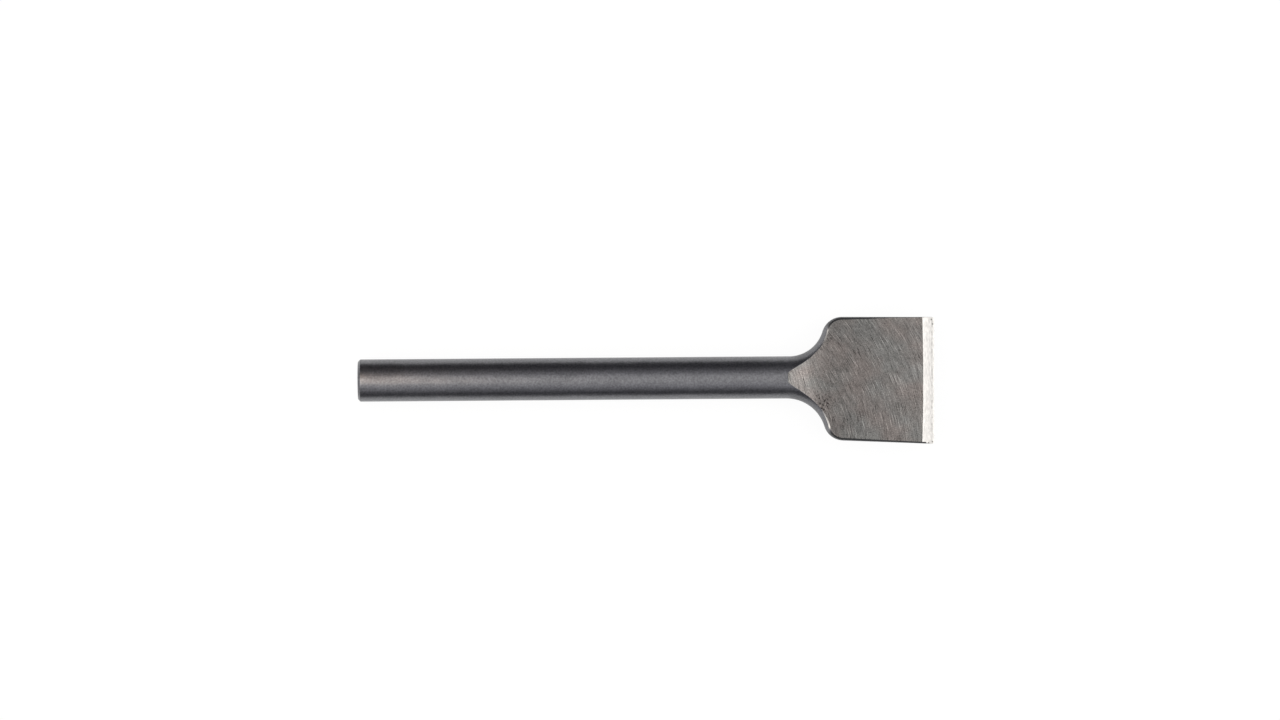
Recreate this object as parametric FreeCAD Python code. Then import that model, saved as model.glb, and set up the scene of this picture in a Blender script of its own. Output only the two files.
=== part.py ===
"""Spade chisel: one round steel bar, forged flat at its end into a spade and ground to an edge.

Millimetres. X runs along the bar towards the cutting edge and Z is up, square to the blade's
faces. The origin is the centre of the bar's plain end, on the bar's axis. The bar lies level.

The forging keeps the bar's round side round both shoulders. The two faces are ground after
forging, so each face meets the round side at a crisp line that starts as a nose on the bar.
The blade was forged by hand and eye: it leans a little to the -Y side and its two shoulders
have different radii, so each side is worked out from its own values.
"""
import FreeCAD, Part
import math
import os

# The bar
BAR_DIAMETER = 14.0
OVERALL_LENGTH = 190.7      # plain end to cutting edge
END_CHAMFER = 0.8           # on the plain end

# The spade in plan
EDGE_WIDTH = 42.0           # across the cutting edge
FLANK_LENGTH = 30.35        # straight side of the blade, corner to cutting edge
FLARE_ANGLE = 1.0           # each flank opens towards the edge by this
LEAN_ANGLE = 1.5            # the whole blade points this far to the -Y side
LEAN_START = 52.4           # from the cutting edge back to where the lean begins
CORNER_RADIUS = 6.75
SHOULDER_RADIUS_LEFT = 11.5     # concave shoulder on the +Y side
SHOULDER_RADIUS_RIGHT = 13.1    # concave shoulder on the -Y side

# The forged side wall, which bulges between the two faces
FLANK_BULGE_RADIUS = 20.0   # of the wall's section along the flanks; the shoulders keep the bar's
GRIND_STOCK = 0.5           # forging left proud of each face before grinding

# The ground faces, seen from the side; both faces are alike
NOSE_LEAD = 0.15            # grinding starts this far behind the first shoulder
RAMP_ANGLE = 13.2           # from the bar down to the blade
TAPER_ANGLE = 4.2           # along the blade
RAMP_BLEND_RADIUS = 63.0    # hollow between ramp and taper
BEVEL_LENGTH = 3.8
BEVEL_THICKNESS = 4.0       # of the blade where the bevels begin
EDGE_THICKNESS = 0.16       # flat left on the cutting edge
EDGE_OUT_OF_SQUARE = 0.43   # the grinding runs askew of the bar by this angle

BAR_RADIUS = BAR_DIAMETER / 2.0
CORNER_STATIONS = 7         # sections that carry the bulge from shoulder to flank
OVERSHOOT = 5.0             # by which stock and cutters pass the finished surfaces
UP = FreeCAD.Vector(0, 0, 1)


def vec(x, y, z=0.0):
    return FreeCAD.Vector(x, y, z)


def slope(degrees):
    return math.tan(math.radians(degrees))


class SideOutline:
    """Plan of one side of the spade, with y counted outwards from the bar's axis."""

    def __init__(self, side, shoulder_radius):
        self.side = side
        self.shoulder_radius = shoulder_radius
        self.flank_angle = math.radians(FLARE_ANGLE - side * LEAN_ANGLE)
        along = vec(math.cos(self.flank_angle), math.sin(self.flank_angle))
        self.along = along
        self.outwards = vec(-along.y, along.x)
        edge_y = EDGE_WIDTH / 2.0 - side * LEAN_START * slope(LEAN_ANGLE)
        self.flank_start = vec(OVERALL_LENGTH, edge_y) - along * FLANK_LENGTH
        self.corner_centre = self.flank_start - self.outwards * CORNER_RADIUS
        self.shoulder_centre = self.centre_of_shoulder()
        to_corner = self.corner_centre - self.shoulder_centre
        self.towards_corner = to_corner.normalize()
        self.joint = self.shoulder_centre + self.towards_corner * shoulder_radius

    def centre_of_shoulder(self):
        """Centre of the concave arc that touches both the bar's side and the corner's arc."""
        y = BAR_RADIUS + self.shoulder_radius
        between_centres = self.shoulder_radius + CORNER_RADIUS
        rise = y - self.corner_centre.y
        return vec(self.corner_centre.x - math.sqrt(between_centres**2 - rise**2), y)

    def shoulder_sweep(self):
        """Angle of the shoulder's arc, from the bar's side to the corner."""
        return math.degrees(math.atan2(self.towards_corner.x, -self.towards_corner.y))


LEFT = SideOutline(1, SHOULDER_RADIUS_LEFT)
RIGHT = SideOutline(-1, SHOULDER_RADIUS_RIGHT)
NOSE_X = min(LEFT.shoulder_centre.x, RIGHT.shoulder_centre.x) - NOSE_LEAD
NECK_X = NOSE_X - OVERSHOOT     # the bar and the forging meet here
BEVEL_X = OVERALL_LENGTH - BEVEL_LENGTH


def taper_height(x):
    """Half thickness of the blade on the straight taper."""
    return BEVEL_THICKNESS / 2.0 + (BEVEL_X - x) * slope(TAPER_ANGLE)


def ramp_foot_x():
    """Where the ramp's straight line would meet the taper's."""
    fall_needed = BAR_RADIUS - taper_height(NOSE_X)
    return NOSE_X + fall_needed / (slope(RAMP_ANGLE) - slope(TAPER_ANGLE))


def face_edges():
    """The upper face seen from the side, from above the bar to the middle of the cutting edge."""
    foot = vec(ramp_foot_x(), 0, taper_height(ramp_foot_x()))
    tangent = RAMP_BLEND_RADIUS * slope((RAMP_ANGLE - TAPER_ANGLE) / 2.0)
    ramp = math.radians(RAMP_ANGLE)
    taper = math.radians(TAPER_ANGLE)
    start = vec(NOSE_X - OVERSHOOT / slope(RAMP_ANGLE), 0, BAR_RADIUS + OVERSHOOT)
    blend_start = foot + vec(-math.cos(ramp), 0, math.sin(ramp)) * tangent
    blend_end = foot + vec(math.cos(taper), 0, -math.sin(taper)) * tangent
    middle = (ramp + taper) / 2.0
    centre = blend_end + vec(math.sin(taper), 0, math.cos(taper)) * RAMP_BLEND_RADIUS
    blend_mid = centre - vec(math.sin(middle), 0, math.cos(middle)) * RAMP_BLEND_RADIUS
    bevel_back = vec(BEVEL_X, 0, BEVEL_THICKNESS / 2.0)
    edge_top = vec(OVERALL_LENGTH, 0, EDGE_THICKNESS / 2.0)
    return [
        Part.makeLine(vec(-OVERSHOOT, 0, start.z), start),
        Part.makeLine(start, blend_start),
        Part.Arc(blend_start, blend_mid, blend_end).toShape(),
        Part.makeLine(blend_end, bevel_back),
        Part.makeLine(bevel_back, edge_top),
        Part.makeLine(edge_top, vec(OVERALL_LENGTH, 0, 0)),
    ]


def ground_envelope():
    """Everything that the grinding leaves: the side profile, pushed across and turned askew."""
    upper = face_edges()
    lower = [edge.mirror(vec(0, 0), UP) for edge in upper]
    top_corner = upper[0].Vertexes[0].Point
    back = Part.makeLine(vec(top_corner.x, 0, -top_corner.z), top_corner)
    profile = Part.Face(Part.Wire(Part.sortEdges(upper + lower + [back])[0]))
    across = vec(0, 1) * (EDGE_WIDTH + OVERSHOOT)
    profile.translate(across * -1.0)
    envelope = profile.extrude(across * 2.0)
    envelope.rotate(vec(OVERALL_LENGTH, 0), UP, -EDGE_OUT_OF_SQUARE)
    return envelope


def side_block(outline):
    """A block that holds all of one side of the chisel, from the bar's middle plane outwards."""
    length = OVERALL_LENGTH + 2.0 * OVERSHOOT
    width = EDGE_WIDTH + OVERSHOOT
    height = 2.0 * (BAR_RADIUS + 2.0 * OVERSHOOT)
    block = Part.makeBox(length, width, height, vec(-OVERSHOOT, 0, -height / 2.0))
    return on_side(block, outline)


def on_side(shape, outline):
    """The shape as it lies on its own side of the bar."""
    if outline.side < 0:
        return shape.mirror(vec(0, 0), vec(0, 1))
    return shape


def wall_section(centre, outwards, reach, bulge_radius, half_height, inner_reach):
    """Upright section of the forging: flat inside, and an arc outside that bulges to its reach."""
    rise = UP * half_height
    arc_centre = centre + outwards * (reach - bulge_radius)
    wall_top = arc_centre + outwards * math.sqrt(bulge_radius**2 - half_height**2)
    inner = centre + outwards * inner_reach
    edges = [
        Part.Arc(wall_top - rise, centre + outwards * reach, wall_top + rise).toShape(),
        Part.makeLine(wall_top + rise, inner + rise),
        Part.makeLine(inner + rise, inner - rise),
        Part.makeLine(inner - rise, wall_top - rise),
    ]
    return Part.Wire(edges)


def bar_stock():
    """The plain bar, up to the neck, with its far end chamfered."""
    bar = Part.makeCylinder(BAR_RADIUS, NECK_X, vec(0, 0), vec(1, 0))
    rim = [edge for edge in bar.Edges if edge.isClosed() and edge.CenterOfMass.x < NECK_X / 2.0]
    return bar.makeChamfer(END_CHAMFER, rim)


def neck_stock(outline):
    """Round side of the bar, carried straight on and then round the concave shoulder."""
    bend_x = outline.shoulder_centre.x
    straight = Part.makeCylinder(BAR_RADIUS, bend_x - NECK_X, vec(NECK_X, 0), vec(1, 0))
    half_round = wall_section(
        vec(bend_x, 0), vec(0, 1), BAR_RADIUS, BAR_RADIUS, BAR_RADIUS, -EDGE_WIDTH
    )
    bend = Part.Face(half_round).revolve(outline.shoulder_centre, UP, outline.shoulder_sweep())
    return [straight, bend]


def blade_half_height(outline):
    """Half height of the forging at the corner, before the faces are ground."""
    return taper_height(outline.joint.x) + GRIND_STOCK


def corner_stock(outline):
    """Convex corner, along which the wall flattens from the bar's round to the flank's bulge."""
    half_height = blade_half_height(outline)
    hub_radius = CORNER_RADIUS / 2.0
    first = math.atan2(-outline.towards_corner.y, -outline.towards_corner.x)
    last = math.atan2(outline.outwards.y, outline.outwards.x)
    sections = []
    for station in range(CORNER_STATIONS):
        share = station / (CORNER_STATIONS - 1)
        eased = share * share * (3.0 - 2.0 * share)
        bulge = BAR_RADIUS + (FLANK_BULGE_RADIUS - BAR_RADIUS) * eased
        angle = first + (last - first) * share
        outwards = vec(math.cos(angle), math.sin(angle))
        sections.append(
            wall_section(
                outline.corner_centre, outwards, CORNER_RADIUS, bulge, half_height, hub_radius / 2.0
            )
        )
    hub_base = outline.corner_centre - UP * half_height
    hub = Part.makeCylinder(hub_radius, 2.0 * half_height, hub_base)
    return [Part.makeLoft(sections, True, False), hub]


def flank_stock(outline):
    """Straight side of the blade, carried past the cutting edge."""
    half_height = blade_half_height(outline)
    section = wall_section(
        outline.corner_centre, outline.outwards, CORNER_RADIUS, FLANK_BULGE_RADIUS, half_height, 0.0
    )
    return Part.Face(section).extrude(outline.along * (FLANK_LENGTH + OVERSHOOT))


def web_stock(outline):
    """Inner part of the blade, between the flank's strip and the bar's middle plane."""
    half_height = blade_half_height(outline)
    far_end = outline.corner_centre + outline.along * (FLANK_LENGTH + OVERSHOOT)
    corners = [vec(outline.joint.x, 0), outline.corner_centre, far_end, vec(far_end.x, 0)]
    plan = Part.makePolygon(corners + corners[:1])
    plan.translate(UP * -half_height)
    return Part.Face(plan).extrude(UP * (2.0 * half_height))


def spade_chisel():
    envelope = ground_envelope()
    pieces = []
    for outline in (LEFT, RIGHT):
        half_envelope = envelope.common(side_block(outline))
        stock = neck_stock(outline) + corner_stock(outline)
        stock += [flank_stock(outline), web_stock(outline)]
        pieces += [on_side(piece, outline).common(half_envelope) for piece in stock]
    bar = bar_stock()
    return bar.multiFuse(pieces).removeSplitter()


os.makedirs("parts", exist_ok=True)
chisel = spade_chisel()
chisel.exportStep("parts/spade_chisel.step")
print("valid", chisel.isValid(), "solids", len(chisel.Solids), "faces", len(chisel.Faces))
print("volume", round(chisel.Volume, 1), "box", chisel.BoundBox)
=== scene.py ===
"""Spade chisel in its finished look: a round steel bar, forged flat at one end and ground to an edge.

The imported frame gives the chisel's place. Sizes here are millimetres until a mesh is finished and
becomes metres. X runs along the bar to the cutting edge, Y to the left and Z up, square to the blade.
"""

import logging
import math
from dataclasses import dataclass, field
from enum import IntEnum, StrEnum
from typing import Any

import bmesh
import bpy
from mathutils import Matrix, Vector, noise


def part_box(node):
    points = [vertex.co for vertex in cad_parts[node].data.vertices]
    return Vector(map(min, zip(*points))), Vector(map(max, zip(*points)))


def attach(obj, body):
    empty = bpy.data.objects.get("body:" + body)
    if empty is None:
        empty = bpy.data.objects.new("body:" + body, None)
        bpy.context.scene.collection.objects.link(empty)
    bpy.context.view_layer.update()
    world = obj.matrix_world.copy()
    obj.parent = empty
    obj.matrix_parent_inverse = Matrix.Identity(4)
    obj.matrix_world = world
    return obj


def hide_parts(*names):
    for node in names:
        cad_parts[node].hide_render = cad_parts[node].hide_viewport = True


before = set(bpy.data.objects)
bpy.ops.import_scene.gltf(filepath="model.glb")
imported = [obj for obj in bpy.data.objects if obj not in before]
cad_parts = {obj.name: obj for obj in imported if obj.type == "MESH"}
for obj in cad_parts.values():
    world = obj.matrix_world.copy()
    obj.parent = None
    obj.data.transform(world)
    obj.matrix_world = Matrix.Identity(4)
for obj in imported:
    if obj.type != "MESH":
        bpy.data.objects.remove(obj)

LOG = logging.getLogger("spade_chisel")
NODE = "spade_chisel"
MM = 0.001          # metres in a millimetre
PER_METRE = 1000.0  # millimetres in a metre
TINY = 1e-6         # mm, less than any real difference
MIDDLE = 0.5        # mean level of a noise
NOISE_SLICE = 0.37  # height at which a flat pattern cuts the noise, off its lattice

COLOUR_MIX = {"data_type": "RGBA", "output": 2}  # setting and output of a Mix node for colours
COLOUR_A, COLOUR_B = 6, 7                        # its inputs for colours
NUMBER_A, NUMBER_B = 2, 3                        # its inputs for numbers

Tree = bpy.types.NodeTree
Socket = bpy.types.NodeSocket
Pair = tuple[float, float]
Pairs = tuple[Pair, ...]
Triple = tuple[float, float, float]


class Side(IntEnum):
    """Side of the bar, as the sign of its Y."""

    LEFT = 1
    RIGHT = -1


class Zone(IntEnum):
    """Surface zones, each with its own finish. The value is the material's place on the mesh."""

    FORGED = 0
    GROUND = 1
    BEVEL = 2


class WearAndPaintedLight(StrEnum):
    """Numbers kept at the mesh's points, from 0 to 1, that the finishes read: real marks of use, and
    painted shade and highlight.
    """

    SCALE = "forge_scale_and_painted_shade"   # dark scale left on the flanks, partly painted shade for the dark that the flanks mirror
    BRIGHT_AND_HIGHLIGHT = "bright_rim_and_painted_highlight"  # edge polished bright at the shoulders, partly a painted highlight
    ROLL = "rim_shade_edge"    # painted shade on the rim of the ground face beside a bright edge


def linear_colour(hex_code: str) -> tuple[float, float, float, float]:
    """Turns an sRGB hex value into a linear colour.

    Args:
        hex_code: Six hex digits after a hash sign.

    Returns:
        Red, green, blue and alpha, linear.
    """
    channels = [int(hex_code[start:start + 2], 16) / 255.0 for start in (1, 3, 5)]
    low_end, slope, offset, power = 0.04045, 12.92, 0.055, 2.4
    linear = [c / slope if c <= low_end else ((c + offset) / (1.0 + offset)) ** power for c in channels]
    return (linear[0], linear[1], linear[2], 1.0)


def smooth_share(value: float, start: float, end: float) -> float:
    """Eased share from 0 at start to 1 at end."""
    share = min(max((value - start) / (end - start), 0.0), 1.0)
    return share * share * (3.0 - 2.0 * share)


def add_node(
    tree: Tree, kind: str, *values: Any, inputs: dict | None = None, output: int | str = 0, **settings: Any
) -> Socket | None:
    """Adds a node with its settings, values and links.

    Args:
        tree: Node tree that gets the node.
        kind: Blender's name of the node's type, without the ShaderNode before it.
        values: Value or output socket for each of the first inputs, in order.
        inputs: Value or output socket for other inputs, by name or number.
        output: Name or number of the output that is asked for.
        settings: Attributes of the node.

    Returns:
        That output, or None where the node has no outputs.
    """
    node = tree.nodes.new(f"ShaderNode{kind}")
    for name, value in settings.items():
        setattr(node, name, value)
    for key, value in [*enumerate(values), *(inputs or {}).items()]:
        if isinstance(value, Socket):
            tree.links.new(value, node.inputs[key])
        else:
            node.inputs[key].default_value = value
    return node.outputs[output] if node.outputs else None


def empty_material(name: str) -> bpy.types.Material:
    """Makes a material with an empty node tree.

    Args:
        name: The material's name.

    Returns:
        The material.
    """
    material = bpy.data.materials.new(name)
    material.use_nodes = True
    material.node_tree.nodes.clear()
    return material


def add_object(name: str, data: bpy.types.ID) -> bpy.types.Object:
    """Adds an object to the scene.

    Args:
        name: The object's name.
        data: Its mesh, lamp or camera.

    Returns:
        The object.
    """
    thing = bpy.data.objects.new(name, data)
    bpy.context.scene.collection.objects.link(thing)
    return thing


def add_shape(name: str, shape: bmesh.types.BMesh, *materials: bpy.types.Material) -> bpy.types.Object:
    """Adds a finished shape to the scene as an object at the origin.

    Args:
        name: Name of the object and its mesh.
        shape: The shape in metres, which is freed.
        materials: Its materials, in the order that its faces count them.

    Returns:
        The object.
    """
    mesh = bpy.data.meshes.new(name)
    shape.to_mesh(mesh)
    shape.free()
    for material in materials:
        mesh.materials.append(material)
    return add_object(name, mesh)


@dataclass(frozen=True)
class SpadeSizes:
    """Driving sizes of the chisel, in millimetres and degrees."""

    length: float = 190.7
    bar_radius: float = 7.0
    edge_width: float = 42.0
    flank_length: float = 30.35
    flare_angle: float = 1.0      # of each flank, outwards
    lean_angle: float = 1.5       # of the whole blade, to the right
    lean_start: float = 52.4      # back from the cutting edge
    corner_radius: float = 6.75   # in plan
    flank_bulge: float = 20.0     # radius of the side wall's section
    nose_lead: float = 0.15       # from the ramp's start to the first shoulder
    ramp_angle: float = 13.2
    taper_angle: float = 4.2
    ramp_blend_radius: float = 63.0
    bevel_length: float = 3.95
    bevel_thickness: float = 4.0  # of the blade where the bevel starts
    edge_thickness: float = 0.16
    askew_angle: float = 0.43     # by which the grinding is out of square
    bevel_bow: float = 0.3        # how far the bevel's line bows towards the edge at mid width
    bevel_waver: float = 0.07     # how far the bevel's line strays by hand
    waver_length: float = 6.0     # along one stray of it

    def lean(self) -> float:
        """How far the cutting edge's middle lies to the right of the bar's axis."""
        return self.lean_start * math.tan(math.radians(self.lean_angle))

    def grind_x(self, x: float, y: float) -> float:
        """X in the grinding's own frame, which is turned a little about the cutting edge's middle."""
        turn = math.radians(self.askew_angle)
        return self.length + (x - self.length) * math.cos(turn) - y * math.sin(turn)


@dataclass(frozen=True)
class Finish:
    """Common part of every steel finish: a metal whose patterns are laid out in millimetres."""

    name: str
    roughness: float

    def material(self) -> bpy.types.Material:
        """Builds the material.

        Returns:
            The material.
        """
        material = empty_material(self.name)
        tree = material.node_tree
        metres = add_node(tree, "TexCoord", output="Object")
        place = add_node(tree, "Mapping", metres, inputs={"Scale": (PER_METRE,) * 3})
        inputs = {"Metallic": 1.0, "Roughness": self.roughness, **self.look(tree, place)}
        add_node(tree, "OutputMaterial", add_node(tree, "BsdfPrincipled", inputs=inputs))
        return material

    def look(self, tree: Tree, place: Socket) -> dict[str, Socket]:
        """Adds the finish's patterns. Each finish has its own.

        Args:
            tree: Tree that gets them.
            place: Place on the object in millimetres.

        Returns:
            Output socket for each input of the metal shader that they reach.
        """
        raise NotImplementedError

    @staticmethod
    def spot(tree: Tree, place: Socket, middle: Triple, reach: Pair) -> Socket:
        """Adds a round spot.

        Args:
            tree: Tree that gets it.
            place: Place on the object in millimetres.
            middle: The spot's middle, in millimetres.
            reach: Millimetres from its middle to where it starts to fade and to where it ends.

        Returns:
            1 in the spot, and 0 off it.
        """
        away = add_node(tree, "VectorMath", place, middle, output="Value", operation="DISTANCE")
        return add_node(tree, "MapRange", away, *reach, 1.0, 0.0)


@dataclass(frozen=True)
class ForgedSkin(Finish):
    """Forged carbon steel, shot-blasted and oiled: satin dark grey with a fine mottled grain.

    The flanks keep a dull dark scale, partly painted shade, and the rims of the shoulders are polished
    bright, partly a painted highlight.
    """

    name: str = "carbon_steel_forged_and_shot_blasted"
    roughness: float = 0.36
    dark: str = "#646467"
    light: str = "#8b8b8e"
    grain: float = 0.6        # mm, across one mottle; the real grit is finer than the picture shows
    grain_gain: float = 2.1   # strength of the grain in the colour
    patch: float = 9.0        # mm, across one cloudy patch
    patch_gain: float = 0.45  # strength of the patches in the colour
    spread: float = 0.6       # of grain and patches about their middle, from dark to light
    relief: float = 0.02      # mm, depth of the grain
    waves: float = 0.25       # mm, from which the patches rise and fall by about a quarter each way
    # dark scale, also painted shade on the flanks and low on the shoulders' walls
    scale: str = "#2e2e30"
    scale_roughness: float = 0.5
    scale_metal: float = 0.4  # scale is an oxide, so only part of it shines as metal does
    # bright rims: polished metal, also a painted highlight on the shoulders
    bright: str = "#b4b2ae"
    bright_roughness: float = 0.34

    def look(self, tree: Tree, place: Socket) -> dict[str, Socket]:
        """Adds grain and patches, and over them the scale with its painted shade and the bright rims with
        their painted highlight.

        Args:
            tree: Tree that gets them.
            place: Place on the object in millimetres.

        Returns:
            Output socket for each input of the metal shader that they reach.
        """
        grain = add_node(tree, "TexNoise", place, inputs={"Scale": 1.0 / self.grain, "Detail": 3.0})
        patch = add_node(tree, "TexNoise", place, inputs={"Scale": 1.0 / self.patch, "Detail": 2.0})
        shade = add_node(tree, "Math", patch, self.patch_gain, operation="MULTIPLY")
        shade = add_node(tree, "Math", grain, self.grain_gain, shade, operation="MULTIPLY_ADD")
        middle = (self.grain_gain + self.patch_gain) / 2.0
        share = add_node(tree, "MapRange", shade, middle - self.spread, middle + self.spread)
        colours = {COLOUR_A: linear_colour(self.dark), COLOUR_B: linear_colour(self.light)}
        colour = add_node(tree, "Mix", share, inputs=colours, **COLOUR_MIX)
        roughness, metal = self.roughness, 1.0
        # dark scale with painted shade, then bright rims with a painted highlight
        overlays = (
            (WearAndPaintedLight.SCALE, self.scale, self.scale_roughness, self.scale_metal),
            (WearAndPaintedLight.BRIGHT_AND_HIGHLIGHT, self.bright, self.bright_roughness, 1.0),
        )
        for wear_and_painted_light, overlay, overlay_roughness, overlay_metal in overlays:
            share = add_node(tree, "Attribute", output="Fac", attribute_name=wear_and_painted_light.value)
            colours = {COLOUR_A: colour, COLOUR_B: linear_colour(overlay)}
            colour = add_node(tree, "Mix", share, inputs=colours, **COLOUR_MIX)
            roughness = add_node(tree, "Mix", share, inputs={NUMBER_A: roughness, NUMBER_B: overlay_roughness})
            metal = add_node(tree, "Mix", share, inputs={NUMBER_A: metal, NUMBER_B: overlay_metal})
        waves = {"Height": patch, "Strength": 1.0, "Distance": self.waves * MM}
        relief = {"Height": grain, "Strength": 1.0, "Distance": self.relief * MM}
        relief["Normal"] = add_node(tree, "Bump", inputs=waves)
        normal = add_node(tree, "Bump", inputs=relief)
        return {"Base Color": colour, "Roughness": roughness, "Metallic": metal, "Normal": normal}


@dataclass(frozen=True)
class BeltMarks:
    """A family of grinding marks: arcs round one centre, in plan."""

    centre: Pair                 # mm
    radius: float                # mm, about where the arcs cross the blade
    width: float                 # mm, across a mark
    length: float                # mm, along a mark
    reach: float                 # half of a scratch, as a share of its cell, or 0 for soft streaks
    gain: float                  # strength in the lightness, below 0 where the marks are dark
    depths: Pair = (0.25, 0.75)  # random level of a cell, from no scratch to the deepest

    def unrolled(self, tree: Tree, place: Socket) -> Socket:
        """Adds the nodes that count widths across the arcs and lengths along them.

        Args:
            tree: Tree that gets them.
            place: Place on the object in millimetres.

        Returns:
            The place in widths and lengths.
        """
        centred = add_node(tree, "Mapping", place, (-self.centre[0], -self.centre[1], 0.0))
        split = add_node(tree, "SeparateXYZ", centred).node.outputs
        flat = add_node(tree, "VectorMath", centred, (1.0, 1.0, 0.0), operation="MULTIPLY")
        away = add_node(tree, "VectorMath", flat, output="Value", operation="LENGTH")
        turn = add_node(tree, "Math", split["Y"], split["X"], operation="ARCTAN2")
        across = add_node(tree, "Math", away, 1.0 / self.width, operation="MULTIPLY")
        along = add_node(tree, "Math", turn, self.radius / self.length, operation="MULTIPLY")
        return add_node(tree, "CombineXYZ", across, along, NOISE_SLICE)

    def lightness(self, tree: Tree, place: Socket) -> Socket:
        """Adds soft streaks, or one straight scratch that tapers to both ends in each width by length.

        Args:
            tree: Tree that gets them.
            place: Place on the object in millimetres.

        Returns:
            The marks' level, 0 where the steel is left alone.
        """
        unrolled = self.unrolled(tree, place)
        if not self.reach:
            streaks = {"Scale": 1.0, "Detail": 2.0, "Roughness": 0.6}
            level = add_node(tree, "TexNoise", unrolled, inputs=streaks)
            return add_node(tree, "Math", level, MIDDLE, operation="SUBTRACT")
        cells = add_node(tree, "TexVoronoi", unrolled, inputs={"Scale": 1.0}, voronoi_dimensions="2D")
        line = add_node(tree, "MapRange", cells, 0.0, self.reach, 1.0, 0.0)
        depth = add_node(tree, "MapRange", cells.node.outputs["Color"], *self.depths)
        return add_node(tree, "Math", line, depth, operation="MULTIPLY")


@dataclass(frozen=True)
class GroundFace(Finish):
    """Carbon steel ground on a coarse belt: mid grey, with curved marks, scratches and warm clouds, painted
    light towards the edge and painted shade beside the shoulders' bright rims.

    Each gain is a pattern's strength in the lightness, below 0 where the pattern is dark.
    """

    name: str = "carbon_steel_belt_ground"
    roughness: float = 0.26
    cool: str = "#6f6e6c"
    warm: str = "#746e6b"
    cloud: float = 9.0                      # mm, across one cloud of colour
    cloud_levels: Pair = (0.35, 0.65)       # level of the noise, from cool to warm
    grain: float = 0.34                     # mm, across one speck between the marks
    grain_gain: float = 1.6
    blotch: float = 5.0                     # mm, across one lighter or darker blotch
    blotch_gain: float = 0.3
    relief: float = 0.004                   # mm, depth of the marks
    brighter: Pair = (158.0, 186.0)         # mm, where painted light makes the face brighter along X
    brighter_gain: float = 0.12
    nose: Pair = (147.5, 156.0)             # mm, where the nose's own marks fade along X
    pits: Triple = (153.6, -8.6, 4.5)       # mm, middle of the pitted spot
    pit_reach: Pair = (1.2, 4.6)            # mm, from the middle of the spot to its last pits
    pit_size: float = 0.7                   # mm
    pit_levels: Pair = (0.5, 0.66)          # level of the noise, from sound steel to a pit
    pit_gain: float = -0.9
    deep_pit: Triple = (153.4, -10.3, 4.4)  # mm, middle of the one deep pit
    deep_pit_reach: Pair = (0.1, 0.55)      # mm
    deep_pit_gain: float = -0.6
    rim_shade_gain: float = -0.3                 # of the painted shade on the face's rim beside the bright edge
    blade_families: tuple[BeltMarks, ...] = (
        BeltMarks((104.0, -26.0), 81.0, 0.32, 4.0, 0.0, 0.9),
        BeltMarks((104.0, -26.0), 81.0, 0.16, 2.2, 0.0, 1.2),
        BeltMarks((98.0, -34.0), 88.0, 0.5, 12.0, 0.25, 1.3),
        BeltMarks((101.0, -28.0), 84.0, 0.6, 11.0, 0.25, -0.9),
        BeltMarks((110.0, -20.0), 78.0, 1.6, 30.0, 0.09, 0.9),
    )
    nose_families: tuple[BeltMarks, ...] = (
        BeltMarks((40.0, -30.0), 110.0, 0.34, 7.0, 0.0, 1.7),
        BeltMarks((44.0, -24.0), 105.0, 0.5, 12.0, 0.24, 0.9),
        BeltMarks((38.0, -34.0), 112.0, 0.6, 11.0, 0.24, -0.8),
    )

    def belt_marks(self, tree: Tree, place: Socket, families: tuple[BeltMarks, ...]) -> Socket:
        """Adds families of marks together.

        Args:
            tree: Tree that gets them.
            place: Place on the object in millimetres.
            families: The families.

        Returns:
            Their lightness, 0 where the steel is left alone.
        """
        total = 0.0
        for marks in families:
            level = marks.lightness(tree, place)
            total = add_node(tree, "Math", level, marks.gain, total, operation="MULTIPLY_ADD")
        return total

    def patterns(self, tree: Tree, place: Socket) -> list[tuple[Socket, float]]:
        """Adds every pattern of the face.

        Args:
            tree: Tree that gets them.
            place: Place on the object in millimetres.

        Returns:
            Each pattern, about 0 where it leaves the steel alone, with its gain.
        """
        run = add_node(tree, "SeparateXYZ", place, output="X")
        patterns = []
        for size, gain in ((self.grain, self.grain_gain), (self.blotch, self.blotch_gain)):
            level = add_node(tree, "TexNoise", place, inputs={"Scale": 1.0 / size, "Detail": 1.0})
            patterns.append((add_node(tree, "Math", level, MIDDLE, operation="SUBTRACT"), gain))
        families = {
            NUMBER_A: self.belt_marks(tree, place, self.nose_families),
            NUMBER_B: self.belt_marks(tree, place, self.blade_families),
        }
        on_blade = add_node(tree, "MapRange", run, *self.nose)
        patterns.append((add_node(tree, "Mix", on_blade, inputs=families), 1.0))
        # painted light: the face brighter towards the cutting edge
        patterns.append((add_node(tree, "MapRange", run, *self.brighter), self.brighter_gain))
        near = self.spot(tree, place, self.pits, self.pit_reach)
        speck = add_node(tree, "TexNoise", place, inputs={"Scale": 1.0 / self.pit_size, "Detail": 1.0})
        speck = add_node(tree, "MapRange", speck, *self.pit_levels)
        patterns.append((add_node(tree, "Math", near, speck, operation="MULTIPLY"), self.pit_gain))
        patterns.append((self.spot(tree, place, self.deep_pit, self.deep_pit_reach), self.deep_pit_gain))
        # painted shade on the face's rim, beside the shoulders' bright rims
        rim_shade = add_node(tree, "Attribute", output="Fac", attribute_name=WearAndPaintedLight.ROLL.value)
        return [*patterns, (rim_shade, self.rim_shade_gain)]

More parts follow.
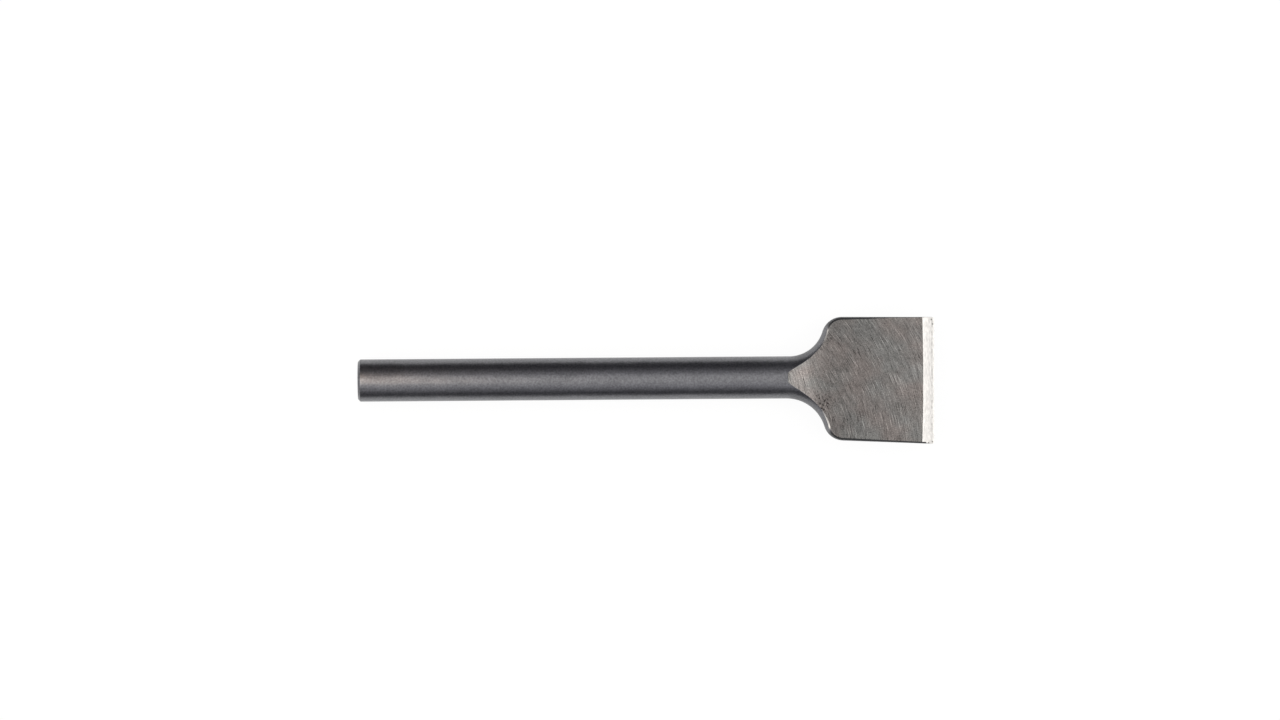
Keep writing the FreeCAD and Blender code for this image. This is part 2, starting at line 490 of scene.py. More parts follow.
    def look(self, tree: Tree, place: Socket) -> dict[str, Socket]:
        """Adds the clouds of colour, made lighter and darker by the patterns.

        Args:
            tree: Tree that gets them.
            place: Place on the object in millimetres.

        Returns:
            Output socket for each input of the metal shader that they reach.
        """
        cloud = add_node(tree, "TexNoise", place, inputs={"Scale": 1.0 / self.cloud, "Detail": 3.0})
        tint = add_node(tree, "MapRange", cloud, *self.cloud_levels)
        colours = {COLOUR_A: linear_colour(self.cool), COLOUR_B: linear_colour(self.warm)}
        base = add_node(tree, "Mix", tint, inputs=colours, **COLOUR_MIX)
        lightness = 1.0
        for pattern, gain in self.patterns(tree, place):
            lightness = add_node(tree, "Math", pattern, gain, lightness, operation="MULTIPLY_ADD")
        colour = add_node(tree, "VectorMath", base, lightness, operation="MULTIPLY")
        relief = {"Height": lightness, "Strength": 1.0, "Distance": self.relief * MM}
        return {"Base Color": colour, "Normal": add_node(tree, "Bump", inputs=relief)}


@dataclass(frozen=True)
class BevelSteel(Finish):
    """Carbon steel of the cutting bevel, ground fine: near white, duller towards the edge through painted
    shade, with a broken line of painted shade and a painted glint along the very edge.
    """

    name: str = "carbon_steel_fine_ground_bevel"
    roughness: float = 0.35
    bright: str = "#bfbdba"
    # colour of the scuffs, and of the painted shade towards the edge
    dull: str = "#9b9a98"
    # colour of the broken line of painted shade before the cutting edge
    edge: str = "#8d8c8a"
    marks: Pair = (0.35, 1.6)         # mm, size of a mark along X and Y
    scuff_levels: Pair = (0.35, 0.7)  # level of the marks, from bright to scuffed
    scuff_gain: float = 0.7           # share of the dull colour in a full scuff
    tip_shade: Pair = (187.0, 190.5)       # mm along X, where painted shade makes the bevel duller
    tip_shade_gain: float = 0.5            # share of the dull colour at the edge, as painted shade
    edge_glint: Pair = (190.1, 190.35)      # mm along X, where a painted glint makes the very edge bright again
    edge_glint_gain: float = -0.5
    shade_line_x: float = 189.98             # mm along X, the middle of the broken line of painted shade
    shade_line_reach: Pair = (0.1, 0.28)     # mm, from its middle to where it fades
    shade_line_length: float = 1.4           # mm, along one piece of that line
    shade_line_levels: Pair = (0.46, 0.56)   # level of the noise, from no line to a whole one
    nick: str = "#3c3c3a"
    nicks: tuple[Triple, ...] = (
        (190.25, 17.3, 0.3), (189.85, 18.8, 0.5), (188.7, -22.0, 1.0), (190.0, -21.65, 0.4),
    )                                 # mm, dark nicks near the edge's two ends
    nick_reach: Pair = (0.05, 0.4)    # mm, from a nick's middle to where it fades
    askew_angle: float = SpadeSizes.askew_angle
    relief: float = 0.004             # mm

    def look(self, tree: Tree, place: Socket) -> dict[str, Socket]:
        """Adds the fine marks, the painted shade over the stretch before the edge, the painted glint on the
        very edge, the broken line of painted shade and the nicks.

        Args:
            tree: Tree that gets them.
            place: Place on the object in millimetres.

        Returns:
            Output socket for each input of the metal shader that they reach.
        """
        turn = (0.0, 0.0, math.radians(self.askew_angle))
        square = add_node(tree, "Mapping", place, inputs={"Rotation": turn})
        run = add_node(tree, "SeparateXYZ", square, output="X")
        counts = (1.0 / self.marks[0], 1.0 / self.marks[1], 1.0)
        stretched = add_node(tree, "Mapping", place, inputs={"Scale": counts})
        marks = add_node(tree, "TexNoise", stretched, inputs={"Scale": 1.0, "Detail": 3.0})
        # painted shade dulls the bevel towards the edge
        tip_shade = add_node(tree, "MapRange", run, *self.tip_shade, 0.0, self.tip_shade_gain)
        scuffed = add_node(tree, "MapRange", marks, *self.scuff_levels, 0.0, self.scuff_gain)
        # painted glint on the very edge
        edge_glint = add_node(tree, "MapRange", run, *self.edge_glint, 0.0, self.edge_glint_gain)
        share = add_node(tree, "Math", tip_shade, scuffed, operation="ADD")
        share = add_node(tree, "Math", share, edge_glint, operation="ADD", use_clamp=True)
        colours = {COLOUR_A: linear_colour(self.bright), COLOUR_B: linear_colour(self.dull)}
        colour = add_node(tree, "Mix", share, inputs=colours, **COLOUR_MIX)
        # broken line of painted shade just before the cutting edge
        pieces = add_node(tree, "TexNoise", place, inputs={"Scale": 1.0 / self.shade_line_length, "Detail": 2.0})
        broken = add_node(tree, "MapRange", pieces, *self.shade_line_levels)
        from_shade_line = add_node(tree, "Math", run, self.shade_line_x, operation="SUBTRACT")
        from_shade_line = add_node(tree, "Math", from_shade_line, operation="ABSOLUTE")
        shade_line = add_node(tree, "MapRange", from_shade_line, *self.shade_line_reach, 1.0, 0.0)
        shade_line = add_node(tree, "Math", shade_line, broken, operation="MULTIPLY")
        shade_and_nicks = [(shade_line, self.edge)]
        shade_and_nicks += [(self.spot(tree, place, middle, self.nick_reach), self.nick) for middle in self.nicks]
        for share, shade in shade_and_nicks:
            colours = {COLOUR_A: colour, COLOUR_B: linear_colour(shade)}
            colour = add_node(tree, "Mix", share, inputs=colours, **COLOUR_MIX)
        relief = {"Height": marks, "Strength": 1.0, "Distance": self.relief * MM}
        return {"Base Color": colour, "Normal": add_node(tree, "Bump", inputs=relief)}


@dataclass(frozen=True)
class WallSection:
    """Upright section of a side wall, whose Y is counted outwards from the bar's axis."""

    foot: Vector      # the wall's widest point, in plan
    outwards: Vector  # in plan
    bulge: float      # radius of the section

    def point(self, angle: float) -> Vector:
        """Point on the wall at an angle up from level, as seen from the bulge's centre."""
        plan = self.foot - self.outwards * (self.bulge * (1.0 - math.cos(angle)))
        return Vector((plan.x, plan.y, self.bulge * math.sin(angle)))

    def normal(self, angle: float) -> Vector:
        """Outward direction at an angle up from level."""
        plan = self.outwards * math.cos(angle)
        return Vector((plan.x, plan.y, math.sin(angle)))


class SideOutline:
    """Plan of one side of the spade, with distances measured from where the shoulder begins."""

    def __init__(self, side: Side, shoulder_radius: float, tip_radius: float, sizes: SpadeSizes) -> None:
        """Works out the arcs and lines of the side.

        Args:
            side: Side of the bar.
            shoulder_radius: Radius of the concave shoulder.
            tip_radius: Radius to which the corner of the cutting edge is rounded off by use.
            sizes: Driving sizes of the chisel.
        """
        self.side = side
        self.sizes = sizes
        self.tip_radius = tip_radius
        self.shoulder_radius = shoulder_radius
        angle = math.radians(sizes.flare_angle - side * sizes.lean_angle)
        self.along = Vector((math.cos(angle), math.sin(angle)))
        self.outwards = Vector((-self.along.y, self.along.x))
        edge = Vector((sizes.length, sizes.edge_width / 2.0 - side * sizes.lean()))
        self.flank_start = edge - self.along * sizes.flank_length
        self.corner_centre = self.flank_start - self.outwards * sizes.corner_radius
        centre_y = sizes.bar_radius + shoulder_radius
        between = shoulder_radius + sizes.corner_radius
        run = math.sqrt(between**2 - (centre_y - self.corner_centre.y) ** 2)
        self.shoulder_centre = Vector((self.corner_centre.x - run, centre_y))
        to_corner = (self.corner_centre - self.shoulder_centre).normalized()
        self.corner_first = math.atan2(-to_corner.y, -to_corner.x)
        corner_last = math.atan2(self.outwards.y, self.outwards.x)
        self.joint_distance = shoulder_radius * math.atan2(to_corner.x, -to_corner.y)
        corner_turn = self.corner_first - corner_last
        self.flank_distance = self.joint_distance + sizes.corner_radius * corner_turn
        self.end_distance = self.distance_of_grind(sizes.length)

    def section(self, distance: float) -> WallSection:
        """Wall section at a distance past the start of the shoulder.

        Args:
            distance: Millimetres along the outline; less than zero is on the bar.

        Returns:
            The section.
        """
        sizes = self.sizes
        if distance < 0.0:
            foot = Vector((self.shoulder_centre.x + distance, sizes.bar_radius))
            return WallSection(foot, Vector((0.0, 1.0)), sizes.bar_radius)
        if distance < self.joint_distance:
            angle = distance / self.shoulder_radius
            outwards = Vector((-math.sin(angle), math.cos(angle)))
            foot = self.shoulder_centre - outwards * self.shoulder_radius
            return WallSection(foot, outwards, sizes.bar_radius)
        if distance < self.flank_distance:
            angle = self.corner_first - (distance - self.joint_distance) / sizes.corner_radius
            outwards = Vector((math.cos(angle), math.sin(angle)))
            eased = smooth_share(distance, self.joint_distance, self.flank_distance)
            bulge = sizes.bar_radius + (sizes.flank_bulge - sizes.bar_radius) * eased
            return WallSection(self.corner_centre + outwards * sizes.corner_radius, outwards, bulge)
        foot = self.flank_start + self.along * (distance - self.flank_distance)
        into_tip = min(max(self.tip_radius - (self.end_distance - distance), 0.0), self.tip_radius)
        inset = self.tip_radius - math.sqrt(self.tip_radius**2 - into_tip**2)
        return WallSection(foot - self.outwards * inset, self.outwards, sizes.flank_bulge)

    def distance_of_ridge(self, x: float) -> float:
        """Finds the section whose top crosses the bar's axis at a place.

        Args:
            x: Millimetres along the bar.

        Returns:
            Its distance along the outline.
        """
        past = x - self.shoulder_centre.x
        if past < 0.0:
            return past
        ridge_radius = self.shoulder_radius + self.sizes.bar_radius
        return self.shoulder_radius * math.asin(past / ridge_radius)

    def distance_of_grind(self, x: float) -> float:
        """Finds where the flank reaches a place of the grinding's own frame.

        Args:
            x: X in that frame, in millimetres.

        Returns:
            Distance along the outline.
        """
        turn = math.radians(self.sizes.askew_angle)
        start = self.sizes.grind_x(self.flank_start.x, self.side * self.flank_start.y)
        rate = self.along.x * math.cos(turn) - self.side * self.along.y * math.sin(turn)
        return self.flank_distance + (x - start) / rate


class GroundFaces:
    """Upper ground face: ramp, hollow blend, taper and bevel. The lower one mirrors it."""

    HALVINGS = 40      # enough to find a meeting to the last digit
    WAVER_SLICE = 0.5  # line through the noise that the bevel's stray follows

    def __init__(self, sizes: SpadeSizes, nose_x: float) -> None:
        """Works out where ramp, blend and taper meet.

        Args:
            sizes: Driving sizes of the chisel.
            nose_x: Where the ramp leaves the top of the bar.
        """
        self.sizes = sizes
        self.nose_x = nose_x
        self.bevel_x = sizes.length - sizes.bevel_length
        ramp = math.radians(sizes.ramp_angle)
        taper = math.radians(sizes.taper_angle)
        fall = sizes.bar_radius - self.taper_height(nose_x)
        foot_x = nose_x + fall / (math.tan(ramp) - math.tan(taper))
        tangent = sizes.ramp_blend_radius * math.tan((ramp - taper) / 2.0)
        self.blend_start = foot_x - math.cos(ramp) * tangent
        self.blend_end = foot_x + math.cos(taper) * tangent
        self.blend_centre = Vector((
            self.blend_end + math.sin(taper) * sizes.ramp_blend_radius,
            self.taper_height(self.blend_end) + math.cos(taper) * sizes.ramp_blend_radius,
        ))

    def taper_height(self, x: float) -> float:
        """Half thickness of the blade on the straight taper."""
        slope = math.tan(math.radians(self.sizes.taper_angle))
        return self.sizes.bevel_thickness / 2.0 + (self.bevel_x - x) * slope

    def bevel_start(self, y: float) -> float:
        """Finds where the bevel begins, which bows and strays a little.

        Args:
            y: Millimetres to the left.

        Returns:
            X in the grinding's own frame.
        """
        sizes = self.sizes
        across = (y + sizes.lean()) / (sizes.edge_width / 2.0)
        place = Vector((0.0, y / sizes.waver_length, self.WAVER_SLICE))
        stray = sizes.bevel_waver * noise.noise(place)
        return self.bevel_x + sizes.bevel_bow * max(0.0, 1.0 - across * across) + stray

    def height(self, x: float, y: float) -> float:
        """Height of the ground face at a place in plan.

        Args:
            x: Millimetres along the bar.
            y: Millimetres to the left.

        Returns:
            Height above the middle plane, never below half the edge's thickness.
        """
        sizes = self.sizes
        run = sizes.grind_x(x, y)
        start = self.bevel_start(y)
        if run < self.blend_start:
            return sizes.bar_radius - (run - self.nose_x) * math.tan(math.radians(sizes.ramp_angle))
        if run < self.blend_end:
            drop = math.sqrt(sizes.ramp_blend_radius**2 - (run - self.blend_centre.x) ** 2)
            return self.blend_centre.y - drop
        if run < start:
            return self.taper_height(run)
        share = (run - start) / (sizes.length - start)
        edge = sizes.edge_thickness / 2.0
        return max(edge, self.taper_height(start) * (1.0 - share) + edge * share)

    def meeting_angle(self, wall: WallSection, side: Side) -> float:
        """Finds where the ground face cuts a wall section.

        Args:
            wall: The section.
            side: Side of the bar.

        Returns:
            Angle up the section, in radians.
        """
        low, high = 0.0, math.pi / 2.0
        for _ in range(self.HALVINGS):
            angle = (low + high) / 2.0
            point = wall.point(angle)
            if point.z > self.height(point.x, side * point.y):
                high = angle
            else:
                low = angle
        return low


@dataclass(frozen=True)
class WornRim:
    """Width of the rounded edge between side wall and ground face, along one side.

    Each pair is (millimetres past the place in the comment, width in millimetres). On the shoulder
    the first number is a share of the shoulder's length.
    """

    flank: Pairs                    # start of the flank
    bevel: Pairs                    # start of the bevel
    scale: Pairs = ()               # end of the flank's scale and painted shade
    corner: Pairs = ((1.6, 0.38),)  # joint of shoulder and corner
    tip: Pairs = ((0.0, 0.03),)     # cutting edge
    shoulder: Pairs = ((0.0, 0.05), (0.6, 0.06), (0.85, 0.34))

    def widths(self, outline: SideOutline, scale_stop: float) -> list[Pair]:
        """Lays the rim along its side.

        Args:
            outline: Plan of the side.
            scale_stop: Millimetres short of the cutting edge, where the scale ends.

        Returns:
            Distances along the outline, rising, each with the width there.
        """
        joint, end = outline.joint_distance, outline.end_distance
        stretches = (
            (joint, self.corner),
            (outline.flank_distance, self.flank),
            (end - outline.sizes.bevel_length, self.bevel),
            (end - scale_stop, self.scale),
            (end, self.tip),
        )
        widths = [(joint * share, width) for share, width in self.shoulder]
        return widths + [(start + past, width) for start, pairs in stretches for past, width in pairs]


@dataclass
class Row:
    """One row of the mesh across the chisel, from the right middle line over the top to the left."""

    walls: dict[Side, WallSection]
    distances: dict[Side, float]
    centre_x: float
    ground: bool
    shrink: float = 1.0  # of the section towards the bar's axis, on the plain end
    flat: float = 1.0    # 0 presses the row down to the middle plane, on the cutting edge


@dataclass
class SpadeChisel:
    """The chisel: bar, shoulders, blade, ground faces and cutting edge, as one mesh."""

    sizes: SpadeSizes = SpadeSizes()
    shoulder_radii: Pair = (11.5, 13.1)  # mm, left and right
    tip_radii: Pair = (0.9, 0.8)         # mm, left and right
    plain_end: Pairs = (
        (0.0, 0.0), (0.0, 2.0), (0.0, 4.2), (0.0, 5.6), (0.0, 6.05), (0.04, 6.19), (0.14, 6.33),
        (0.67, 6.86), (0.79, 6.97), (1.0, 7.0),
    )                                    # mm, (x, radius): face, rounded rim, chamfer
    wall_cells: int = 24
    band_cells: int = 5                  # across the rounded edge
    face_cells: int = 40                 # from the boundary to the middle, on each side
    shoulder_cells: int = 44             # along the outlines, as the four below it
    corner_cells: int = 26
    flank_cells: int = 34
    bevel_cells: int = 8
    tip_cells: int = 6
    bar_step: float = 2.0                # mm between rows on the bar
    blunt_x: float = 142.25              # mm, where the ground face starts square
    blunt_lead: float = 0.1              # mm, from the last round row to blunt_x
    face_lead: float = 0.12              # mm, from blunt_x to the first row of the ground face
    joint_x: float = 153.0               # mm on the axis, of the row through the shoulders' joints
    flank_x: float = 159.8               # mm on the axis, of the row through the flanks' starts
    rims: tuple[WornRim, WornRim] = (
        WornRim(flank=((0.0, 0.54), (6.0, 0.46), (17.0, 0.1)), bevel=((-1.0, 0.07),)),
        WornRim(flank=((0.0, 0.5),), bevel=((-0.3, 0.45),), scale=((0.0, 0.5), (0.4, 0.05))),
    )                                    # left and right
    facet: Pair = (0.6, 0.75)            # shares of the shoulder, where the rim becomes a plain facet
    bright_rim_start: Pair = (0.68, 0.8)        # shares of the shoulder, where the bright rim, partly a painted highlight, begins
    bright_rim_stop: Pair = (0.9, 2.2)          # mm past the joint, where it ends
    rim_shade_cells: float = 3.0              # over which the painted shade on the face's rim fades out
    scale_start: Pair = (1.2, 3.6)       # mm past the joint, where the dark scale, partly painted shade, begins
    scale_stop: float = 2.65             # mm short of the edge, where the right flank's scale and painted shade end
    film: float = 0.35                   # share of scale, partly painted shade, left low on the shoulders' walls
    film_start: Pair = (-1.0, 4.0)       # mm past the shoulder's start, where that film begins
    film_top: Pair = (0.4, 0.9)          # shares of the wall's height, where it ends
    unevenness: float = 0.02             # mm by which the forging wanders below its true size
    uneven_length: float = 16.0          # mm, along one wave of it
    uneven_slice: float = 31.0           # mm, place in the noise that it follows
    uneven_gain: float = 0.8             # strength of that noise
    true_lead: float = 2.0               # mm before the bevel, from where the blade is true
    weld: float = 0.004                  # mm, within which points are one
    mirror_weld: float = 0.001           # mm, the same while the upper half is mirrored
    sharp_angle: float = 18.0            # degrees, from which an edge is drawn sharp
    outlines: dict[Side, SideOutline] = field(init=False)
    rim_widths: dict[Side, list[Pair]] = field(init=False)
    faces: GroundFaces = field(init=False)

    def __post_init__(self) -> None:
        """Works out the outlines, the rims along them and the ground faces."""
        self.outlines, self.rim_widths = {}, {}
        sides = zip((Side.LEFT, Side.RIGHT), self.shoulder_radii, self.tip_radii, self.rims)
        for side, shoulder, tip, rim in sides:
            self.outlines[side] = SideOutline(side, shoulder, tip, self.sizes)
            self.rim_widths[side] = rim.widths(self.outlines[side], self.scale_stop)
        first_shoulder = min(outline.shoulder_centre.x for outline in self.outlines.values())
        self.faces = GroundFaces(self.sizes, first_shoulder - self.sizes.nose_lead)

    def row(self, distances: dict[Side, float], centre_x: float, ground: bool = True) -> Row:
        """Row through a distance on each outline."""
        walls = {side: self.outlines[side].section(distances[side]) for side in Side}
        return Row(walls, distances, centre_x, ground)

    def round_row(self, x: float, radius: float | None = None) -> Row:
        """Makes a row that the grinding hasn't reached.

        Args:
            x: Where it crosses the top of the bar, in millimetres.
            radius: Radius that it shrinks to, on the plain end.

        Returns:
            The row.
        """
        row = self.row({s: o.distance_of_ridge(x) for s, o in self.outlines.items()}, x, False)
        if radius is not None:
            row.shrink = radius / self.sizes.bar_radius
        return row

    def rows(self) -> list[Row]:
        """Makes all rows.

        Returns:
            The rows, from the middle of the plain end to the cutting edge.
        """
        rows = [self.round_row(x, radius) for x, radius in self.plain_end]
        start, stop = self.plain_end[-1][0], self.blunt_x - self.blunt_lead
        count = round((self.blunt_x - start) / self.bar_step)
        rows += [self.round_row(start + (stop - start) / count * number) for number in range(1, count)]
        rows += [self.round_row(x) for x in (stop, self.blunt_x)]
        sides = self.outlines.items()
        nose_x, bevel_x = self.blunt_x + self.face_lead, self.faces.bevel_x
        length, bow = self.sizes.length, self.sizes.bevel_bow
        tip_x = length - max(self.tip_radii)
        landmarks = (
            (self.shoulder_cells, self.joint_x, {s: o.joint_distance for s, o in sides}),
            (self.corner_cells, self.flank_x, {s: o.flank_distance for s, o in sides}),
            (self.flank_cells, bevel_x + bow, {s: o.distance_of_grind(bevel_x) for s, o in sides}),
            (self.bevel_cells, tip_x, {s: o.distance_of_grind(tip_x) for s, o in sides}),
            (self.tip_cells, length, {s: o.distance_of_grind(length) for s, o in sides}),
        )
        last_x, last = nose_x, {s: o.distance_of_ridge(nose_x) for s, o in sides}
        rows.append(self.row(last, last_x))
        for cells, centre_x, distances in landmarks:
            for cell in range(1, cells + 1):
                share = cell / cells
                at = {s: last[s] + (distances[s] - last[s]) * share for s in Side}
                rows.append(self.row(at, last_x + (centre_x - last_x) * share))
            last_x, last = centre_x, distances
        edge = rows[-1]
        return [*rows, Row(edge.walls, edge.distances, edge.centre_x, True, flat=0.0)]

    def edge_rounding(self, side: Side, distance: float) -> float:
        """Finds how wide the rounded edge is, on either side of where wall and ground face meet.

        Args:
            side: Side of the bar.
            distance: Distance along its outline.

        Returns:
            Width in millimetres.
        """
        widths = self.rim_widths[side]
        for (start, first), (stop, last) in zip(widths, widths[1:]):
            if distance < stop:
                return first + (last - first) * smooth_share(distance, start, stop)
        return widths[-1][1]

    def wear_and_painted_light(self, side: Side, distance: float, column: int) -> dict[WearAndPaintedLight, float]:
        """Marks of use and painted light at one point of the mesh.

        Args:
            side: Side of the bar.
            distance: Distance of the point's row along the outline.
            column: Number of the point, counted from the middle line of the side wall.

        Returns:
            Share of each kind of mark, real and painted.
        """
        joint = self.outlines[side].joint_distance
        # bright rim of the shoulders: polished metal, partly a painted highlight
        bright_rim = smooth_share(distance, *(joint * share for share in self.bright_rim_start))
        bright_rim -= smooth_share(distance, *(joint + past for past in self.bright_rim_stop))
        rim = self.wall_cells + self.band_cells
        # dark scale, partly painted shade: low on the shoulders' walls, then over the flanks
        low_on_wall = 1.0 - smooth_share(column / self.wall_cells, *self.film_top)
        film = self.film * smooth_share(distance, *self.film_start) * low_on_wall
        covered = smooth_share(distance, *(joint + past for past in self.scale_start))
        return {
            WearAndPaintedLight.SCALE: film + (1.0 - film) * covered if column <= rim else 0.0,
            WearAndPaintedLight.BRIGHT_AND_HIGHLIGHT: bright_rim if self.wall_cells < column <= rim else 0.0,
            # painted shade on the face beside the bright rim
            WearAndPaintedLight.ROLL: bright_rim * max(0.0, 1.0 - (column - rim) / self.rim_shade_cells) if column >= rim else 0.0,
        }

    def half_points(self, row: Row, side: Side) -> tuple[list[Vector], list[Vector]]:
        """Points of a row on one side, with Y outwards, up to where the flat of the face begins.

        Args:
            row: The row.
            side: Side of the bar.

        Returns:
            Points of the wall and the rounded edge, and their outward directions.
        """
        wall, distance = row.walls[side], row.distances[side]
        rounding = self.edge_rounding(side, distance)
        if row.ground:
            meeting = self.faces.meeting_angle(wall, side)
        else:
            bar_radius = self.sizes.bar_radius
            half_nose = math.sqrt(bar_radius**2 - self.faces.height(self.blunt_x, 0.0) ** 2)
            meeting = math.acos(half_nose / bar_radius)
        top = meeting - rounding / wall.bulge
        angles = [top * cell / self.wall_cells for cell in range(self.wall_cells + 1)]
        points = [wall.point(angle) for angle in angles]
        normals = [wall.normal(angle) for angle in angles]
        corner = wall.point(meeting)
        if row.ground:
            inward = wall.outwards * -rounding
            inner = Vector((corner.x + inward.x, corner.y + inward.y, 0.0))
            inner.z = self.faces.height(inner.x, side * inner.y)
        else:
            inner = wall.point(meeting + rounding / wall.bulge)
        outer = points[self.wall_cells]
        joint = self.outlines[side].joint_distance
        flatness = smooth_share(distance, *(joint * share for share in self.facet))
        bend = corner.lerp((outer + inner) / 2.0, flatness)
        for cell in range(1, self.band_cells + 1):
            share = cell / self.band_cells
            points.append(outer.lerp(bend, share).lerp(bend.lerp(inner, share), share))
            normals.append(wall.normal(meeting))
        return points, normals

    def row_points(self, row: Row) -> list[Vector]:
        """Lays out every point of a row.

        Args:
            row: The row.

        Returns:
            Its points, from the right middle line over the top to the left one.
        """
        right, right_normals = self.half_points(row, Side.RIGHT)
        left, left_normals = self.half_points(row, Side.LEFT)
        for mirrored in (*right, *right_normals):
            mirrored.y = -mirrored.y
        start, end = right[-1], left[-1]
        middle, middle_normals = [], []
        radius, cells = self.sizes.bar_radius, 2 * self.face_cells
        for share in (cell / cells for cell in range(1, cells)):
            if row.ground:
                y = start.y + (end.y - start.y) * share
                x = self.curve_x(y, (start.y, start.x), (0.0, row.centre_x), (end.y, end.x))
                point, normal = Vector((x, y, self.faces.height(x, y))), Vector((0.0, 0.0, 1.0))
            else:
                first, last = math.asin(start.y / radius), math.asin(end.y / radius)
                turn = first + (last - first) * share
                normal = Vector((0.0, math.sin(turn), math.cos(turn)))
                point = Vector((row.centre_x, 0.0, 0.0)) + normal * radius
            middle.append(point)
            middle_normals.append(normal)
        points = right + middle + left[::-1]
        normals = right_normals + middle_normals + left_normals[::-1]
        return [self.settled(point, normal, row) for point, normal in zip(points, normals)]

    @staticmethod
    def curve_x(y: float, *points: Pair) -> float:
        """Reads the smooth curve through a few points.

        Args:
            y: Where it is read.
            points: The points, given as (y, x).

        Returns:
            X of the curve at y.
        """
        total = 0.0
        for own_y, own_x in points:
            factors = [(y - other_y) / (own_y - other_y) for other_y, _ in points if other_y != own_y]
            total += own_x * math.prod(factors)
        return total

    def settled(self, point: Vector, normal: Vector, row: Row) -> Vector:
        """Gives a point the forging's unevenness and closes both ends.

        Args:
            point: The point on the true shape.
            normal: Outward direction there.
            row: Row of the point.

        Returns:
            The point's place.
        """
        sample = (point + Vector((0.0, 0.0, self.uneven_slice))) / self.uneven_length
        level = MIDDLE + self.uneven_gain * noise.noise(sample)
        depth = self.unevenness * min(max(level, 0.0), 1.0)
        if point.x > self.faces.bevel_x - self.true_lead or row.shrink < 1.0:
            depth = 0.0
        moved = point - normal * depth
        if point.z == 0.0:
            moved.z = 0.0
        moved.y *= row.shrink
        moved.z *= row.shrink * row.flat
        return moved

    def zone(self, row: Row, column: int) -> Zone:
        """Picks the finish of one cell of the mesh.

        Args:
            row: Row at the cell's end, towards the cutting edge.
            column: Number of the cell, counted from the right middle line.

        Returns:
            Its zone.
        """
        if not row.ground:
            return Zone.FORGED
        rim = self.wall_cells + self.band_cells
        half = rim + self.face_cells
        side = Side.RIGHT if column < half else Side.LEFT
        from_side = min(column, 2 * half - 1 - column)
        outline, distance = self.outlines[side], row.distances[side]
        on_bevel = distance > outline.distance_of_grind(self.faces.bevel_x) + TINY
        # the right flank keeps its dark scale and painted shade until scale_stop short of the edge
        scale_and_shade = side is Side.RIGHT and distance < outline.end_distance - self.scale_stop
        if on_bevel and not (scale_and_shade and from_side < rim):
            return Zone.BEVEL if from_side >= self.wall_cells else Zone.FORGED
        return Zone.GROUND if from_side >= rim else Zone.FORGED

    def build(self, materials: list[bpy.types.Material]) -> bpy.types.Object:
        """Makes the chisel's object.

        Args:
            materials: One material for each zone, in the zones' order.

        Returns:
            The object, at the origin, with its place in its mesh.
        """
        rows = self.rows()
        places = [self.row_points(row) for row in rows]
        row_cells = len(places) - 1
        column_cells = len(places[0]) - 1
        shape = bmesh.new()
        bmesh.ops.create_grid(shape, x_segments=column_cells, y_segments=row_cells, size=1.0)
        for face in shape.faces:
            centre = face.calc_center_median()
            column = int((centre.x + 1.0) / 2.0 * column_cells)
            row = int((centre.y + 1.0) / 2.0 * row_cells)
            face.material_index = self.zone(rows[row + 1], column)
            face.smooth = True
        layers = {wear_and_painted_light: shape.verts.layers.float.new(wear_and_painted_light.value) for wear_and_painted_light in WearAndPaintedLight}
        for vertex in shape.verts:
            column = round((vertex.co.x + 1.0) / 2.0 * column_cells)
            row = round((vertex.co.y + 1.0) / 2.0 * row_cells)
            vertex.co = places[row][column]
            side = Side.RIGHT if column < column_cells / 2 else Side.LEFT
            shares = self.wear_and_painted_light(side, rows[row].distances[side], min(column, column_cells - column))
            for wear_and_painted_light, layer in layers.items():
                vertex[layer] = shares[wear_and_painted_light]
        everything = shape.verts[:] + shape.edges[:] + shape.faces[:]
        weld = self.mirror_weld
        bmesh.ops.mirror(shape, geom=everything, matrix=Matrix.Identity(4), merge_dist=weld, axis="Z")
        bmesh.ops.remove_doubles(shape, verts=shape.verts, dist=self.weld)
        bmesh.ops.dissolve_degenerate(shape, edges=shape.edges, dist=weld)
        bmesh.ops.recalc_face_normals(shape, faces=shape.faces)
        bmesh.ops.scale(shape, vec=(MM, MM, MM), verts=shape.verts)
        piece = add_shape("forged_chisel", shape, *materials)
        piece.data.set_sharp_from_angle(angle=math.radians(self.sharp_angle))
        piece.modifiers.new("even_shading", "WEIGHTED_NORMAL").keep_sharp = True
        return piece


@dataclass(frozen=True)
class SoftLamp:
    """A softbox that looks at a point."""

    name: str
    place: Triple    # mm
    target: Triple   # mm
    size: Pair       # mm
    radiance: float  # 1 is the brightness of white paper
    colour: str = "#ffffff"

    def build(self) -> None:
        """Adds the lamp to the scene."""
        lamp = bpy.data.lights.new(self.name, "AREA")
        lamp.shape = "RECTANGLE"
        lamp.size = self.size[0] * MM
        lamp.size_y = self.size[1] * MM
        lamp.energy = self.radiance * math.pi * lamp.size * lamp.size_y
        lamp.color = linear_colour(self.colour)[:3]
        holder = add_object(self.name, lamp)
        holder.location = Vector(self.place) * MM
        looking = Vector(self.target) - Vector(self.place)
        holder.rotation_euler = looking.to_track_quat("-Z", "Y").to_euler()
        holder.visible_camera = False


